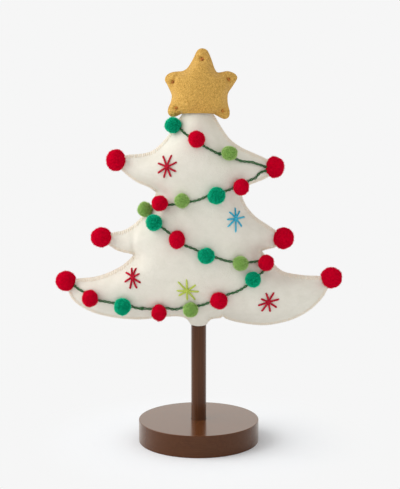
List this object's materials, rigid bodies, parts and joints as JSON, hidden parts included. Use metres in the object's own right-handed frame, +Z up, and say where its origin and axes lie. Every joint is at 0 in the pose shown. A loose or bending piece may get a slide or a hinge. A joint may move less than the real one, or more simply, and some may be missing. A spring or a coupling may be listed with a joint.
{
  "type": "tabletop christmas tree",
  "caption": "Stuffed felt christmas tree with a corded felt-ball garland, stitched snowflakes and a star on top, on a painted wooden stand.",
  "frame": {"origin": "centre of the underside of the base disc, on the surface it stands on", "axes": "+Z up along the dowel, the decorated front faces -Y, +X to the right as seen from the front"},
  "size_m": [0.2816, 0.12, 0.3891],
  "materials": {
    "painted_wood": "satin",
    "screw_steel": "satin",
    "cream_felt": "matte",
    "gold_felt": "matte",
    "stuffing": "matte",
    "garland_cord": "matte",
    "knot_thread": "matte",
    "red_felt": "matte",
    "teal_felt": "matte",
    "light_green_felt": "matte",
    "red_thread": "matte",
    "blue_thread": "matte",
    "lime_thread": "matte"
  },
  "bodies": {
    "root": {"base_disc": "painted_wood", "trunk_dowel": "painted_wood", "base_screw": "screw_steel", "tree_front_felt": "cream_felt", "tree_back_felt": "cream_felt", "tree_stuffing": "stuffing", "star_front_felt": "gold_felt", "star_back_felt": "gold_felt", "star_stuffing": "stuffing", "star_knot_top": "knot_thread", "star_knot_upper_left": "knot_thread", "star_knot_upper_right": "knot_thread", "star_knot_lower_left": "knot_thread", "star_knot_lower_right": "knot_thread", "garland_cord": "garland_cord", "garland_ball_01_teal": "teal_felt", "garland_ball_02_red": "red_felt", "garland_ball_03_light_green": "light_green_felt", "garland_ball_04_red": "red_felt", "garland_ball_05_teal": "teal_felt", "garland_ball_06_light_green": "light_green_felt", "garland_ball_07_red": "red_felt", "garland_ball_08_light_green": "light_green_felt", "garland_ball_09_teal": "teal_felt", "garland_ball_10_red": "red_felt", "garland_ball_11_teal": "teal_felt", "garland_ball_12_light_green": "light_green_felt", "garland_ball_13_red": "red_felt", "garland_ball_14_teal": "teal_felt", "garland_ball_15_red": "red_felt", "garland_ball_16_light_green": "light_green_felt", "garland_ball_17_red": "red_felt", "garland_ball_18_teal": "teal_felt", "garland_ball_19_red": "red_felt", "tip_ball_upper_left": "red_felt", "tip_ball_upper_right": "red_felt", "tip_ball_middle_left": "red_felt", "tip_ball_middle_right": "red_felt", "tip_ball_lower_left": "red_felt", "tip_ball_lower_right": "red_felt", "snowflake_red_upper": "red_thread", "snowflake_blue": "blue_thread", "snowflake_lime": "lime_thread", "snowflake_red_left": "red_thread", "snowflake_red_right": "red_thread"}
  },
  "joints": []
}
